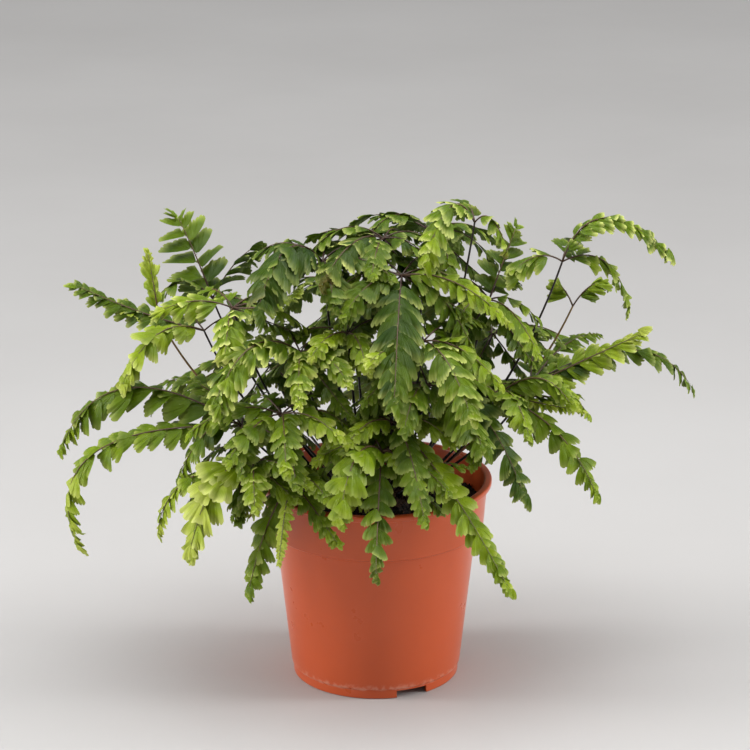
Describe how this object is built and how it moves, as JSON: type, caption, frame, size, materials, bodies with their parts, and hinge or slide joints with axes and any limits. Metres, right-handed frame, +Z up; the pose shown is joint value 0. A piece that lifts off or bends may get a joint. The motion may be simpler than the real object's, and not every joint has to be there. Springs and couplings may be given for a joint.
{
  "type": "potted fern",
  "caption": "Bushy maidenhair-type fern with arching pedate fronds on thin dark stems, growing in a round plastic nursery pot with a rim band and drain notches.",
  "frame": {"origin": "on the pot's axis in the plane of its foot ring, which is also within 2 mm of the centre of the whole plant's footprint", "axes": "+Z up out of the pot, +X towards the plant's right as seen from its front, -Y towards the front, where the fronds hang over the rim"},
  "size_m": [0.326, 0.1951, 0.2531],
  "materials": {
    "pot_plastic": "satin",
    "soil": "matte",
    "rhizome": "matte",
    "stipe": "gloss",
    "leaf": "satin"
  },
  "bodies": {
    "root": {"pot": "pot_plastic", "soil": "soil", "rhizome": "rhizome", "frond_01_stipe": "stipe", "frond_01_blade": "leaf", "frond_02_stipe": "stipe", "frond_02_blade": "leaf", "frond_03_stipe": "stipe", "frond_03_blade": "leaf", "frond_04_stipe": "stipe", "frond_04_blade": "leaf", "frond_05_stipe": "stipe", "frond_05_blade": "leaf", "frond_06_stipe": "stipe", "frond_06_blade": "leaf", "frond_07_stipe": "stipe", "frond_07_blade": "leaf", "frond_08_stipe": "stipe", "frond_08_blade": "leaf", "frond_09_stipe": "stipe", "frond_09_blade": "leaf", "frond_10_stipe": "stipe", "frond_10_blade": "leaf", "frond_11_stipe": "stipe", "frond_11_blade": "leaf", "frond_12_stipe": "stipe", "frond_12_blade": "leaf", "frond_13_stipe": "stipe", "frond_13_blade": "leaf", "frond_14_stipe": "stipe", "frond_14_blade": "leaf", "frond_15_stipe": "stipe", "frond_15_blade": "leaf", "frond_16_stipe": "stipe", "frond_16_blade": "leaf", "frond_17_stipe": "stipe", "frond_17_blade": "leaf", "frond_18_stipe": "stipe", "frond_18_blade": "leaf", "frond_19_stipe": "stipe", "frond_19_blade": "leaf", "frond_20_stipe": "stipe", "frond_20_blade": "leaf", "frond_21_stipe": "stipe", "frond_21_blade": "leaf", "frond_22_stipe": "stipe", "frond_22_blade": "leaf", "frond_23_stipe": "stipe", "frond_23_blade": "leaf", "frond_24_stipe": "stipe", "frond_24_blade": "leaf", "frond_25_stipe": "stipe", "frond_25_blade": "leaf", "frond_26_stipe": "stipe", "frond_26_blade": "leaf", "frond_27_stipe": "stipe", "frond_27_blade": "leaf", "frond_28_stipe": "stipe", "frond_28_blade": "leaf"}
  },
  "joints": []
}
